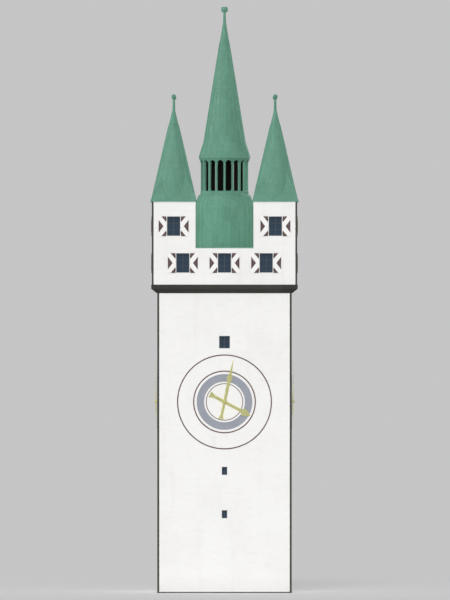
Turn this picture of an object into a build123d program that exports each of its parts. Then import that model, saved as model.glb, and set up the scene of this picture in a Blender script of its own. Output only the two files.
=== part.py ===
import os
from math import atan, cos, degrees, radians, sin, sqrt

from build123d import *

# Square shaft with mitred walls
shaft_height = 20290
shaft_wall = 1300

# Cornice that carries the wider top storey
cornice_height = 580
cornice_fascia = 280
cornice_projection = 40
cornice_foot_projection = 40
floor_bearing_width = 550

# Keeper's storey, which stands out over the shaft on all sides
keeper_jetty = 370
keeper_height = 2490
keeper_wall = 900
parapet_wall = 600
deck_thickness = 250

# Corner turrets and their broach spires, square at the eaves and round above
turret_width = 2955
turret_gap = 3930
turret_height = 3120
turret_wall = 450
eave_overhang = 70
eave_edge = 60
turret_spire_height = 6180
turret_spire_top_radius = 90
turret_cone_inset = 20
turret_shell_thickness = 240
turret_void_tip_radius = 40
broach_height = 3600
broach_built_share = 0.55
turret_neck_height = 745
turret_neck_radius = 65
turret_ball_radius = 155

# Copper drum and open lantern on the roof deck
drum_radius = 1990
drum_wall_height = 2760
drum_shell_thickness = 180
drum_slope_radius = 1800
drum_slope_height = 660
drum_head_radius = 1660
drum_head_height = 220
lantern_floor_thickness = 240
lantern_floor_inset = 20
lantern_floor_nosing = 30
lantern_radius = 1625
lantern_depth = 120
lantern_bays = 18
arch_width = 430
column_height = 1880
arch_ring_height = 340
arch_ring_flare = 95
king_post_radius = 545
lantern_post_count = 8
lantern_post_width = 320
lantern_post_ring_radius = 1216
ceiling_radius = 1540
ceiling_thickness = 80

# Main spire and its finial
spire_lip_radius = 1735
spire_lip_edge = 60
spire_shell_thickness = 160
spire_knee_radius = 1408
spire_knee_height = 1110
spire_height = 9240
spire_top_radius = 105
spire_void_tip_radius = 330
finial_neck_radius = 80
finial_neck_height = 700
knob_radius = 235
knob_end_radius = 175
knob_height = 360

# Windows and their shutters
window_width = 900
window_height = 1340
window_sill = 790
keeper_window_spacing = 2820
shaft_window_width = 730
shaft_window_height = 860
cornice_to_window_height = 3320
slit_width = 370
slit_height = 570
cornice_to_slit_height = 12035
slit_spacing = 2935
frame_setback = 260
frame_width = 60
frame_depth = 90
glass_thickness = 24
shutter_width = 510
shutter_thickness = 45
shutter_gap = 50

# Clock dial on each side of the shaft
cornice_to_dial_height = 7360
chapter_outer_radius = 1884
chapter_inner_radius = 1380
chapter_thickness = 25
bush_radius = 150
bush_depth = 400
bush_stand = 40
arbor_end_gap = 30
hour_pipe_radius = 90
minute_arbor_radius = 55
running_clearance = 0.08
hand_thickness = 20
hand_edge = 6
hour_hand_stand = 60
hour_collar_height = 15
minute_hand_stand = 115
hub_cap_radius = 110
hub_cap_height = 30

# Hands and the angles at which they rest, clockwise from twelve
hour_hand_angle = 118
minute_hand_angle = 12
hour_hand_length = 1990
hour_hand_tail = 1120
hour_hub_radius = 170
hour_arm_half_width = 96
hour_head_start = 1260
hour_head_rise = 165
hour_head_half_width = 250
hour_head_bulge = 45
hour_tail_flare = 230
hour_tail_flare_length = 330
minute_hand_length = 2880
minute_hand_tail = 1170
minute_hub_radius = 140
minute_arm_half_width = 82
minute_shoulder_half_width = 108
minute_leaf_start = 1360
minute_leaf_end = 1930
minute_leaf_half_width = 210
minute_tip_half_width = 12
minute_tail_flare = 185
minute_tail_flare_length = 260

cut_overrun = 100
quarter_turn = 90

# Levels and distances that follow from the sizes above
keeper_width = 2 * turret_width + turret_gap
shaft_width = keeper_width - 2 * keeper_jetty
shaft_window_level = shaft_height - cornice_to_window_height
upper_slit_level = shaft_height - cornice_to_slit_height
dial_level = shaft_height - cornice_to_dial_height
keeper_level = shaft_height + cornice_height
terrace_level = keeper_level + keeper_height
eave_level = terrace_level + turret_height
turret_spire_top = eave_level + eave_edge + turret_spire_height
drum_slope_level = terrace_level + drum_wall_height
drum_head_level = drum_slope_level + drum_slope_height + drum_head_height
lantern_level = drum_head_level + lantern_floor_thickness
spring_level = lantern_level + column_height
spire_level = spring_level + arch_ring_height
spire_top = spire_level + spire_height
shaft_face = shaft_width / 2
keeper_face = keeper_width / 2
turret_offset = (turret_gap + turret_width) / 2
floor_half_width = shaft_face - shaft_wall + floor_bearing_width
eave_half_width = turret_width / 2 + eave_overhang

sides = {"front": 0, "right": 90, "back": 180, "left": 270}
corners = {"front_right": 0, "back_right": 90, "back_left": 180, "front_left": 270}
window_rows = [-keeper_window_spacing, 0, keeper_window_spacing]


def outward(turn):
    return Vector(sin(radians(turn)), -cos(radians(turn)), 0)


def rightward(turn):
    return Vector(cos(radians(turn)), sin(radians(turn)), 0)


# Plane of one side seen from outside: x runs right, y runs up
def side_plane(turn, distance):
    return Plane(origin=outward(turn) * distance, x_dir=rightward(turn), z_dir=outward(turn))


# Upright section through the middle of one side: x runs outwards, y runs up
def section_plane(turn):
    return Plane(origin=(0, 0, 0), x_dir=outward(turn), z_dir=-rightward(turn))


def level_plane(turn, level):
    return Plane(origin=(0, 0, level), x_dir=rightward(turn), z_dir=(0, 0, 1))


def corner_centre(turn):
    return (outward(turn) + rightward(turn)) * turret_offset


def corner_plane(turn, level):
    centre = corner_centre(turn)
    return Plane(origin=(centre.X, centre.Y, level), x_dir=rightward(turn), z_dir=(0, 0, 1))


# Upright section through an axis over a point on the ground: x runs outwards, y runs up
def axis_plane(centre):
    return Plane(origin=centre, x_dir=(1, 0, 0), z_dir=(0, -1, 0))


# Wall or moulding of one side, cut to a mitre at both corners
def mitred_run(turn, outline):
    reach = max(x for x, y in outline)
    foot = min(y for x, y in outline)
    head = max(y for x, y in outline)
    with BuildSketch(section_plane(turn)) as profile:
        with BuildLine():
            Polyline(*outline, close=True)
        make_face()
    extrude(profile.sketch, amount=reach, both=True)
    with BuildSketch(level_plane(turn, foot)) as wedge:
        with BuildLine():
            Polyline((0, 0), (reach, -reach), (-reach, -reach), close=True)
        make_face()
    extrude(wedge.sketch, amount=head - foot, mode=Mode.INTERSECT)


def cut_windows(turn, face, depth, centres, width, height):
    with BuildSketch(side_plane(turn, face)) as openings:
        with Locations(*centres):
            Rectangle(width, height)
    extrude(openings.sketch, amount=-depth - cut_overrun, mode=Mode.SUBTRACT)


def add_frames(turn, face, centres, width, height):
    with BuildSketch(side_plane(turn, face - frame_setback)) as frames:
        with Locations(*centres):
            Rectangle(width, height)
            Rectangle(width - 2 * frame_width, height - 2 * frame_width, mode=Mode.SUBTRACT)
    extrude(frames.sketch, amount=-frame_depth)


def add_glass(turn, face, centres, width, height):
    glass_face = face - frame_setback - (frame_depth - glass_thickness) / 2
    with BuildSketch(side_plane(turn, glass_face)) as panes:
        with Locations(*centres):
            Rectangle(width - 2 * frame_width, height - 2 * frame_width)
    extrude(panes.sketch, amount=-glass_thickness)


# Pair of leaves folded back flat on the wall beside each window
def add_shutters(turn, face, centres):
    leaf_offset = window_width / 2 + shutter_gap + shutter_width / 2
    leaves = [(x + hand * leaf_offset, y) for x, y in centres for hand in (-1, 1)]
    with BuildSketch(side_plane(turn, face)) as pairs:
        with Locations(*leaves):
            Rectangle(shutter_width, window_height)
    extrude(pairs.sketch, amount=shutter_thickness)


# Neck and ball on the tip of a spire
def add_finial(centre, foot_level, foot_radius, neck_radius, neck_height, ball_radius):
    ball_level = foot_level + neck_height + ball_radius
    ball_top = ball_level + ball_radius
    neck_top = ball_level - sqrt(ball_radius**2 - neck_radius**2)
    with BuildSketch(axis_plane(centre)) as outline:
        with BuildLine():
            Polyline((0, ball_top), (0, foot_level), (foot_radius, foot_level), (neck_radius, neck_top))
            ThreePointArc((neck_radius, neck_top), (ball_radius, ball_level), (0, ball_top))
        make_face()
    revolve(outline.sketch, axis=Axis(centre, (0, 0, 1)))


# Hand's own plane: y runs along the hand to its tip
def hand_plane(turn, angle, stand):
    face = outward(turn) * (shaft_face + stand)
    across = rightward(turn) * cos(radians(angle)) - Vector(0, 0, sin(radians(angle)))
    return Plane(origin=(face.X, face.Y, dial_level), x_dir=across, z_dir=outward(turn))


os.makedirs("parts", exist_ok=True)

keeper_windows = [(x, keeper_level + window_sill + window_height / 2) for x in window_rows]
turret_window_level = terrace_level + window_sill + window_height / 2
shaft_windows = [(0, shaft_window_level)]
slits = [(0, upper_slit_level), (0, upper_slit_level - slit_spacing)]

# Shaft walls, each with an upper window, two slits and a seat for the hands' bush
for side, turn in sides.items():
    with BuildPart() as shaft_side:
        mitred_run(
            turn,
            [
                (shaft_face - shaft_wall, 0),
                (shaft_face, 0),
                (shaft_face, shaft_height),
                (shaft_face - shaft_wall, shaft_height),
            ],
        )
        cut_windows(turn, shaft_face, shaft_wall, shaft_windows, shaft_window_width, shaft_window_height)
        cut_windows(turn, shaft_face, shaft_wall, slits, slit_width, slit_height)
        with BuildSketch(side_plane(turn, shaft_face)):
            with Locations((0, dial_level)):
                Circle(bush_radius)
        extrude(amount=-bush_depth, mode=Mode.SUBTRACT)
    shaft_side.part.label = f"shaft_wall_{side}"
    export_step(shaft_side.part, f"parts/shaft_wall_{side}.step")

# Cornice with an upright fascia over a sloped underside
for side, turn in sides.items():
    with BuildPart() as cornice_side:
        mitred_run(
            turn,
            [
                (floor_half_width, shaft_height),
                (shaft_face + cornice_foot_projection, shaft_height),
                (keeper_face + cornice_projection, keeper_level - cornice_fascia),
                (keeper_face + cornice_projection, keeper_level),
                (floor_half_width, keeper_level),
            ],
        )
    cornice_side.part.label = f"cornice_{side}"
    export_step(cornice_side.part, f"parts/cornice_{side}.step")

# Keeper's floor, which bears on the shaft walls inside the cornice
with BuildPart() as keeper_floor:
    with BuildSketch(Plane.XY.offset(shaft_height)):
        Rectangle(2 * floor_half_width, 2 * floor_half_width)
    extrude(amount=cornice_height)
keeper_floor.part.label = "keeper_floor"
export_step(keeper_floor.part, "parts/keeper_floor.step")

# Keeper's walls, with a ledge inside their head for the roof deck
for side, turn in sides.items():
    with BuildPart() as keeper_side:
        mitred_run(
            turn,
            [
                (keeper_face - keeper_wall, keeper_level),
                (keeper_face, keeper_level),
                (keeper_face, terrace_level),
                (keeper_face - parapet_wall, terrace_level),
                (keeper_face - parapet_wall, terrace_level - deck_thickness),
                (keeper_face - keeper_wall, terrace_level - deck_thickness),
            ],
        )
        cut_windows(turn, keeper_face, keeper_wall, keeper_windows, window_width, window_height)
    keeper_side.part.label = f"keeper_wall_{side}"
    export_step(keeper_side.part, f"parts/keeper_wall_{side}.step")

with BuildPart() as roof_deck:
    with BuildSketch(Plane.XY.offset(terrace_level - deck_thickness)):
        Rectangle(keeper_width - 2 * parapet_wall, keeper_width - 2 * parapet_wall)
    extrude(amount=deck_thickness)
roof_deck.part.label = "roof_deck"
export_step(roof_deck.part, "parts/roof_deck.step")

# Corner turrets, with a window in each of their two outer faces
for corner, turn in corners.items():
    with BuildPart() as turret:
        with BuildSketch(corner_plane(turn, terrace_level)):
            Rectangle(turret_width, turret_width)
            Rectangle(turret_width - 2 * turret_wall, turret_width - 2 * turret_wall, mode=Mode.SUBTRACT)
        extrude(amount=turret_height)
        first = [(turret_offset, turret_window_level)]
        second = [(-turret_offset, turret_window_level)]
        cut_windows(turn, keeper_face, turret_wall, first, window_width, window_height)
        cut_windows(turn + quarter_turn, keeper_face, turret_wall, second, window_width, window_height)
    turret.part.label = f"turret_{corner}"
    export_step(turret.part, f"parts/turret_{corner}.step")

# Turret spires: a pyramid at the eaves dies into a round cone, hollow inside
cone_foot = eave_level + eave_edge
cone_radius = eave_half_width - turret_cone_inset
cone_run_share = turret_spire_height / (cone_radius - turret_spire_top_radius)
void_radius = cone_radius - turret_shell_thickness
void_tip_level = cone_foot + (void_radius - turret_void_tip_radius) * cone_run_share
broach_taper = degrees(atan(eave_half_width / broach_height))
for corner, turn in corners.items():
    centre = corner_centre(turn)
    with BuildPart() as turret_spire:
        with BuildSketch(corner_plane(turn, eave_level)):
            Rectangle(2 * eave_half_width, 2 * eave_half_width)
        extrude(amount=eave_edge)
        with BuildSketch(corner_plane(turn, cone_foot)):
            Rectangle(2 * eave_half_width, 2 * eave_half_width)
        extrude(amount=broach_height * broach_built_share, taper=broach_taper)
        with BuildSketch(axis_plane(centre)):
            with BuildLine():
                Polyline(
                    (0, cone_foot),
                    (cone_radius, cone_foot),
                    (turret_spire_top_radius, turret_spire_top),
                    (0, turret_spire_top),
                    close=True,
                )
            make_face()
        revolve(axis=Axis(centre, (0, 0, 1)))
        with BuildSketch(axis_plane(centre)):
            with BuildLine():
                Polyline(
                    (0, eave_level),
                    (void_radius, eave_level),
                    (turret_void_tip_radius, void_tip_level),
                    (0, void_tip_level),
                    close=True,
                )
            make_face()
        revolve(axis=Axis(centre, (0, 0, 1)), mode=Mode.SUBTRACT)
    turret_spire.part.label = f"turret_spire_{corner}"
    export_step(turret_spire.part, f"parts/turret_spire_{corner}.step")

# Ball finials of the four turrets
with BuildPart() as turret_finials:
    for turn in corners.values():
        add_finial(
            corner_centre(turn),
            turret_spire_top,
            turret_spire_top_radius,
            turret_neck_radius,
            turret_neck_height,
            turret_ball_radius,
        )
turret_finials.part.label = "turret_finials"
export_step(turret_finials.part, "parts/turret_finials.step")

# Copper drum, which leans in over its upright wall and rounds off at the head
with BuildPart() as drum:
    with BuildSketch(Plane.XZ):
        with BuildLine():
            Polyline(
                (drum_head_radius, drum_head_level),
                (drum_head_radius - drum_shell_thickness, drum_head_level),
                (drum_radius - drum_shell_thickness, drum_slope_level),
                (drum_radius - drum_shell_thickness, terrace_level),
                (drum_radius, terrace_level),
                (drum_radius, drum_slope_level),
                (drum_slope_radius, drum_slope_level + drum_slope_height),
            )
            TangentArc(
                (drum_slope_radius, drum_slope_level + drum_slope_height),
                (drum_head_radius, drum_head_level),
                tangent=(drum_slope_radius - drum_radius, drum_slope_height),
            )
        make_face()
    revolve(axis=Axis.Z)
drum.part.label = "drum"
export_step(drum.part, "parts/drum.step")

with BuildPart() as lantern_floor:
    with BuildSketch(Plane.XY.offset(lantern_level - lantern_floor_thickness)):
        Circle(drum_head_radius - lantern_floor_inset)
    extrude(amount=lantern_floor_thickness)
    chamfer(lantern_floor.edges().group_by(Axis.Z)[-1], lantern_floor_nosing)
lantern_floor.part.label = "lantern_floor"
export_step(lantern_floor.part, "parts/lantern_floor.step")

# Open arcade of the lantern: columns between straight-sided bays, and the ring of arches
bay_reach = lantern_radius + arch_ring_flare + cut_overrun
lantern_inner_radius = lantern_radius - lantern_depth
with BuildPart() as lantern_columns:
    with BuildSketch(Plane.XY.offset(lantern_level)):
        Circle(lantern_radius)
        Circle(lantern_inner_radius, mode=Mode.SUBTRACT)
        with PolarLocations(bay_reach / 2, lantern_bays):
            Rectangle(bay_reach, arch_width, mode=Mode.SUBTRACT)
    extrude(amount=column_height)
lantern_columns.part.label = "lantern_columns"
export_step(lantern_columns.part, "parts/lantern_columns.step")

with BuildPart() as lantern_arches:
    with BuildSketch(Plane.XZ):
        with BuildLine():
            Polyline(
                (lantern_inner_radius, spring_level),
                (lantern_radius, spring_level),
                (lantern_radius + arch_ring_flare, spire_level),
                (lantern_inner_radius, spire_level),
                close=True,
            )
        make_face()
    revolve(axis=Axis.Z)
    with Locations((0, 0, spring_level)):
        with PolarLocations(bay_reach / 2, lantern_bays):
            Cylinder(arch_width / 2, bay_reach, rotation=(0, 90, 0), mode=Mode.SUBTRACT)
lantern_arches.part.label = "lantern_arches"
export_step(lantern_arches.part, "parts/lantern_arches.step")

# Main spire: a hollow cone on a flared foot
void_foot_radius = spire_lip_radius - spire_shell_thickness
void_knee_radius = spire_knee_radius - spire_shell_thickness
spire_knee_level = spire_level + spire_knee_height
spire_fall = spire_knee_radius - spire_top_radius
void_rise_share = (void_knee_radius - spire_void_tip_radius) / spire_fall
spire_void_top = spire_knee_level + (spire_top - spire_knee_level) * void_rise_share
with BuildPart() as spire:
    with BuildSketch(Plane.XZ):
        with BuildLine():
            Polyline(
                (void_foot_radius, spire_level),
                (spire_lip_radius, spire_level),
                (spire_lip_radius, spire_level + spire_lip_edge),
                (spire_knee_radius, spire_knee_level),
                (spire_top_radius, spire_top),
                (0, spire_top),
                (0, spire_void_top),
                (spire_void_tip_radius, spire_void_top),
                (void_knee_radius, spire_knee_level),
                close=True,
            )
        make_face()
    revolve(axis=Axis.Z)
spire.part.label = "spire"
export_step(spire.part, "parts/spire.step")

# Barrel-shaped knob on a neck over the spire
knob_foot = spire_top + finial_neck_height
knob_top = knob_foot + knob_height
with BuildPart() as spire_finial:
    with BuildSketch(Plane.XZ):
        with BuildLine():
            Polyline(
                (knob_end_radius, knob_top),
                (0, knob_top),
                (0, spire_top),
                (spire_top_radius, spire_top),
                (finial_neck_radius, knob_foot),
                (knob_end_radius, knob_foot),
            )
            ThreePointArc(
                (knob_end_radius, knob_foot),
                (knob_radius, knob_foot + knob_height / 2),
                (knob_end_radius, knob_top),
            )
        make_face()
    revolve(axis=Axis.Z)
spire_finial.part.label = "spire_finial"
export_step(spire_finial.part, "parts/spire_finial.step")

# Timber frame inside the arcade, and the boarded ceiling that closes the spire above it
with BuildPart() as king_post:
    with BuildSketch(Plane.XY.offset(lantern_level)):
        RegularPolygon(king_post_radius, lantern_post_count)
    extrude(amount=spire_level - lantern_level)
king_post.part.label = "king_post"
export_step(king_post.part, "parts/king_post.step")

with BuildPart() as lantern_posts:
    with BuildSketch(Plane.XY.offset(lantern_level)):
        with PolarLocations(lantern_post_ring_radius, lantern_post_count):
            Rectangle(lantern_post_width, lantern_post_width)
    extrude(amount=spire_level - lantern_level)
lantern_posts.part.label = "lantern_posts"
export_step(lantern_posts.part, "parts/lantern_posts.step")

with BuildPart() as lantern_ceiling:
    with BuildSketch(Plane.XY.offset(spire_level)):
        Circle(ceiling_radius)
    extrude(amount=ceiling_thickness)
lantern_ceiling.part.label = "lantern_ceiling"
export_step(lantern_ceiling.part, "parts/lantern_ceiling.step")

# Window frames and panes, set back in their reveals
with BuildPart() as shaft_frames:
    for turn in sides.values():
        add_frames(turn, shaft_face, shaft_windows, shaft_window_width, shaft_window_height)
        add_frames(turn, shaft_face, slits, slit_width, slit_height)
shaft_frames.part.label = "shaft_frames"
export_step(shaft_frames.part, "parts/shaft_frames.step")

with BuildPart() as shaft_glass:
    for turn in sides.values():
        add_glass(turn, shaft_face, shaft_windows, shaft_window_width, shaft_window_height)
        add_glass(turn, shaft_face, slits, slit_width, slit_height)
shaft_glass.part.label = "shaft_glass"
export_step(shaft_glass.part, "parts/shaft_glass.step")

with BuildPart() as keeper_frames:
    for turn in sides.values():
        add_frames(turn, keeper_face, keeper_windows, window_width, window_height)
keeper_frames.part.label = "keeper_frames"
export_step(keeper_frames.part, "parts/keeper_frames.step")

with BuildPart() as keeper_glass:
    for turn in sides.values():
        add_glass(turn, keeper_face, keeper_windows, window_width, window_height)
keeper_glass.part.label = "keeper_glass"
export_step(keeper_glass.part, "parts/keeper_glass.step")

with BuildPart() as keeper_shutters:
    for turn in sides.values():
        add_shutters(turn, keeper_face, keeper_windows)
keeper_shutters.part.label = "keeper_shutters"
export_step(keeper_shutters.part, "parts/keeper_shutters.step")

turret_windows = [(hand * turret_offset, turret_window_level) for hand in (-1, 1)]
with BuildPart() as turret_frames:
    for turn in sides.values():
        add_frames(turn, keeper_face, turret_windows, window_width, window_height)
turret_frames.part.label = "turret_frames"
export_step(turret_frames.part, "parts/turret_frames.step")

with BuildPart() as turret_glass:
    for turn in sides.values():
        add_glass(turn, keeper_face, turret_windows, window_width, window_height)
turret_glass.part.label = "turret_glass"
export_step(turret_glass.part, "parts/turret_glass.step")

with BuildPart() as turret_shutters:
    for turn in sides.values():
        add_shutters(turn, keeper_face, turret_windows)
turret_shutters.part.label = "turret_shutters"
export_step(turret_shutters.part, "parts/turret_shutters.step")

# Chapter rings on the four sides, and the bushes in which the hands turn
with BuildPart() as dial_rings:
    for turn in sides.values():
        with BuildSketch(side_plane(turn, shaft_face)):
            with Locations((0, dial_level)):
                Circle(chapter_outer_radius)
                Circle(chapter_inner_radius, mode=Mode.SUBTRACT)
        extrude(amount=chapter_thickness)
dial_rings.part.label = "dial_rings"
export_step(dial_rings.part, "parts/dial_rings.step")

with BuildPart() as hand_bushes:
    for turn in sides.values():
        with BuildSketch(side_plane(turn, shaft_face - bush_depth)):
            with Locations((0, dial_level)):
                Circle(bush_radius)
                Circle(hour_pipe_radius + running_clearance, mode=Mode.SUBTRACT)
        extrude(amount=bush_depth + bush_stand)
hand_bushes.part.label = "hand_bushes"
export_step(hand_bushes.part, "parts/hand_bushes.step")

# Hour hands: a spade-shaped head and a flared tail on a pipe
arbor_reach = bush_depth - arbor_end_gap
hour_head_widest = hour_head_start + hour_head_rise
for side, turn in sides.items():
    with BuildPart() as hour_hand:
        with BuildSketch(hand_plane(turn, hour_hand_angle, hour_hand_stand)):
            with BuildLine():
                Polyline(
                    (0, -hour_hand_tail),
                    (hour_tail_flare, -hour_hand_tail),
                    (hour_arm_half_width, hour_tail_flare_length - hour_hand_tail),
                    (hour_arm_half_width, hour_head_start),
                    (hour_head_half_width, hour_head_widest),
                )
                SagittaArc(
                    (hour_head_half_width, hour_head_widest),
                    (0, hour_hand_length),
                    -hour_head_bulge,
                )
                mirror(about=Plane.YZ)
            make_face()
            Circle(hour_hub_radius)
        extrude(amount=hand_thickness)
        front_face = hour_hand.faces().sort_by(Axis((0, 0, 0), outward(turn)))[-1]
        chamfer(front_face.edges(), hand_edge)
        with BuildSketch(hand_plane(turn, hour_hand_angle, -arbor_reach)):
            Circle(hour_pipe_radius)
        extrude(amount=arbor_reach + hour_hand_stand + hand_thickness + hour_collar_height)
        with BuildSketch(hand_plane(turn, hour_hand_angle, -arbor_reach)):
            Circle(minute_arbor_radius + running_clearance)
        extrude(
            amount=arbor_reach + hour_hand_stand + hand_thickness + hour_collar_height,
            mode=Mode.SUBTRACT,
        )
    hour_hand.part.label = f"hour_hand_{side}"
    export_step(hour_hand.part, f"parts/hour_hand_{side}.step")

# Minute hands: a leaf part way to a long point, and a flared tail, on an arbor
minute_leaf_middle = (minute_leaf_start + minute_leaf_end) / 2
for side, turn in sides.items():
    with BuildPart() as minute_hand:
        with BuildSketch(hand_plane(turn, minute_hand_angle, minute_hand_stand)):
            with BuildLine():
                Polyline(
                    (0, -minute_hand_tail),
                    (minute_tail_flare, -minute_hand_tail),
                    (minute_arm_half_width, minute_tail_flare_length - minute_hand_tail),
                    (minute_shoulder_half_width, minute_leaf_start),
                    (minute_leaf_half_width, minute_leaf_middle),
                    (minute_arm_half_width, minute_leaf_end),
                    (minute_tip_half_width, minute_hand_length),
                    (0, minute_hand_length),
                )
                mirror(about=Plane.YZ)
            make_face()
            Circle(minute_hub_radius)
        extrude(amount=hand_thickness)
        front_face = minute_hand.faces().sort_by(Axis((0, 0, 0), outward(turn)))[-1]
        chamfer(front_face.edges(), hand_edge)
        with BuildSketch(hand_plane(turn, minute_hand_angle, -arbor_reach)):
            Circle(minute_arbor_radius)
        extrude(amount=arbor_reach + minute_hand_stand)
        with BuildSketch(hand_plane(turn, minute_hand_angle, minute_hand_stand + hand_thickness)):
            Circle(hub_cap_radius)
        extrude(amount=hub_cap_height)
    minute_hand.part.label = f"minute_hand_{side}"
    export_step(minute_hand.part, f"parts/minute_hand_{side}.step")
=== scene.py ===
from math import cos, pi, radians, sin

import bmesh
import bpy
from mathutils import Matrix, Vector


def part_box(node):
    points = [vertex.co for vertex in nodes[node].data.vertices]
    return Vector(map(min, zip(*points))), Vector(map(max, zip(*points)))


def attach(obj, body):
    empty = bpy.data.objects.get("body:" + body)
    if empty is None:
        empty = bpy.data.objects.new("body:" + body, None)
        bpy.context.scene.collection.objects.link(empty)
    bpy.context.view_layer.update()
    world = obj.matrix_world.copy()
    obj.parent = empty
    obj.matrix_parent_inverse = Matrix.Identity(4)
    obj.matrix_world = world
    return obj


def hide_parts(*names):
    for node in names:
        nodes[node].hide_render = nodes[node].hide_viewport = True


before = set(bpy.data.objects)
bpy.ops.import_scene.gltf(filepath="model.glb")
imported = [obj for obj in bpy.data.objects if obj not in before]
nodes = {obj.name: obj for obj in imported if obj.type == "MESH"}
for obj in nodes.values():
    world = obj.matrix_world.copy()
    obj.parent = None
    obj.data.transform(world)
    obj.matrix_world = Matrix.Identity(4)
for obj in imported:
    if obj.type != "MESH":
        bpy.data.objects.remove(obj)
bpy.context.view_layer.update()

# how far each side and corner is turned from the first one
sides = {side: i * pi / 2 for i, side in enumerate(("front", "right", "back", "left"))}
cornerNames = ("front_right", "back_right", "back_left", "front_left")
corners = {corner: i * pi / 2 for i, corner in enumerate(cornerNames)}

# levels, faces and radii of the tower in metres, read from the CAD
shaftFace = -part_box("shaft_wall_front")[0].y
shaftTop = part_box("shaft_wall_front")[1].z
corniceFace = -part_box("cornice_front")[0].y
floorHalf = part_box("keeper_floor")[1].x
keeperFace = -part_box("keeper_wall_front")[0].y
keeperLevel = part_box("keeper_wall_front")[0].z
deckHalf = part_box("roof_deck")[1].x
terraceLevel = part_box("roof_deck")[1].z
turretLow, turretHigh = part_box("turret_front_right")
turretOffset = (turretLow.x + turretHigh.x) / 2
turretHalf = (turretHigh.x - turretLow.x) / 2
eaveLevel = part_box("turret_spire_front_right")[0].z
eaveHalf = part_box("turret_spire_front_right")[1].x - turretOffset
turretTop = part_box("turret_spire_front_right")[1].z
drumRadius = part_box("drum")[1].x
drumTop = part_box("drum")[1].z
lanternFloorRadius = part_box("lantern_floor")[1].x
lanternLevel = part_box("lantern_floor")[1].z
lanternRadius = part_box("lantern_columns")[1].x
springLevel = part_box("lantern_columns")[1].z
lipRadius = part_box("spire")[1].x
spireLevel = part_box("spire")[0].z
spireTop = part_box("spire")[1].z
ringLow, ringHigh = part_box("dial_rings")
dialLevel = (ringLow.z + ringHigh.z) / 2
ringFace = -ringLow.y
print("frame loaded with", len(nodes), "nodes")


class Sock:
    # a value in a shader; sums on it add Math nodes
    def __init__(self, paint, link):
        self.paint = paint
        self.link = link

    def __add__(self, other):
        return self.paint.maths("ADD", self, other)

    __radd__ = __add__

    def __sub__(self, other):
        return self.paint.maths("SUBTRACT", self, other)

    def __rsub__(self, other):
        return self.paint.maths("SUBTRACT", other, self)

    def __mul__(self, other):
        return self.paint.maths("MULTIPLY", self, other)

    __rmul__ = __mul__

    def __truediv__(self, other):
        return self.paint.maths("DIVIDE", self, other)

    def __rtruediv__(self, other):
        return self.paint.maths("DIVIDE", other, self)

    def __abs__(self):
        return self.paint.maths("ABSOLUTE", self)

    def __gt__(self, other):
        return self.paint.maths("GREATER_THAN", self, other)

    def __lt__(self, other):
        return self.paint.maths("LESS_THAN", self, other)

    def __or__(self, other):
        return self.paint.maths("MAXIMUM", self, other)

    def floor(self):
        return self.paint.maths("FLOOR", self)

    def step(self, low, high, end=1.0, start=0.0):
        # soft step from start at low to end at high
        return self.paint.node(
            "ShaderNodeMapRange",
            {"interpolation_type": "SMOOTHSTEP"},
            {"Value": self, "From Min": low, "From Max": high, "To Min": start, "To Max": end},
        )


class Paint:
    # the nodes of a material or of the world
    def __init__(self, owner):
        owner.use_nodes = True
        self.owner = owner
        self.tree = owner.node_tree
        self.tree.nodes.clear()

    def node(self, kind, settings=None, values=None, pick=None):
        # adds a node and returns its first output, the named one, or a list of named ones
        made = self.tree.nodes.new(kind)
        for key, value in (settings or {}).items():
            if key == "stops":
                self.setStops(made.color_ramp.elements, value)
            else:
                setattr(made, key, value)
        for key, value in (values or {}).items():
            named = (s for s in made.inputs if s.enabled and key in (s.identifier, s.name))
            self.feed(made.inputs[key] if isinstance(key, int) else next(named), value)
        outs = {out.name: Sock(self, out) for out in made.outputs if out.enabled}
        if pick is None:
            return next(iter(outs.values()), None)
        return outs[pick] if isinstance(pick, str) else [outs[name] for name in pick]

    def setStops(self, elements, stops):
        while len(elements) < len(stops):
            elements.new(1.0)
        for element, (place, colour) in zip(elements, stops):
            element.position = place
            element.color = (*colour, 1.0)

    def feed(self, socket, value):
        if isinstance(value, Sock):
            self.tree.links.new(value.link, socket)
        elif socket.type == "RGBA":
            socket.default_value = (*value, 1.0)
        else:
            socket.default_value = value

    def maths(self, operation, *values):
        return self.node("ShaderNodeMath", {"operation": operation}, dict(enumerate(values)))

    def place(self, shift=(0.0, 0.0, 0.0), stretch=(1.0, 1.0, 1.0)):
        spot = self.node("ShaderNodeTexCoord", pick="Object")
        return self.node("ShaderNodeMapping", {}, {"Vector": spot, "Location": shift, "Scale": stretch})

    def axes(self, spot):
        return self.node("ShaderNodeSeparateXYZ", {}, {"Vector": spot}, pick=("X", "Y", "Z"))

    def noise(self, spot, scale, detail, rough):
        values = {"Vector": spot, "Scale": scale, "Detail": detail, "Roughness": rough}
        return self.node("ShaderNodeTexNoise", {}, values)

    def chance(self, seed):
        # one value from 0 to 1 for each whole number
        return self.node("ShaderNodeTexWhiteNoise", {"noise_dimensions": "1D"}, {"W": seed})

    def mix(self, factor, first, second):
        values = {"Factor_Float": factor, "A_Color": first, "B_Color": second}
        return self.node("ShaderNodeMix", {"data_type": "RGBA"}, values)

    def ramp(self, factor, *stops):
        return self.node("ShaderNodeValToRGB", {"stops": stops}, {"Fac": factor})

    def bump(self, height, strength, depth):
        return self.node("ShaderNodeBump", {}, {"Height": height, "Strength": strength, "Distance": depth})

    def surface(self, values):
        shader = self.node("ShaderNodeBsdfPrincipled", {}, values)
        self.node("ShaderNodeOutputMaterial", {}, {"Surface": shader})
        return self.owner


def newPaint(name):
    return Paint(bpy.data.materials.new(name))


def dress(material, *names):
    for name in names:
        for slot in nodes[name].material_slots:
            slot.material = material


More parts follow.
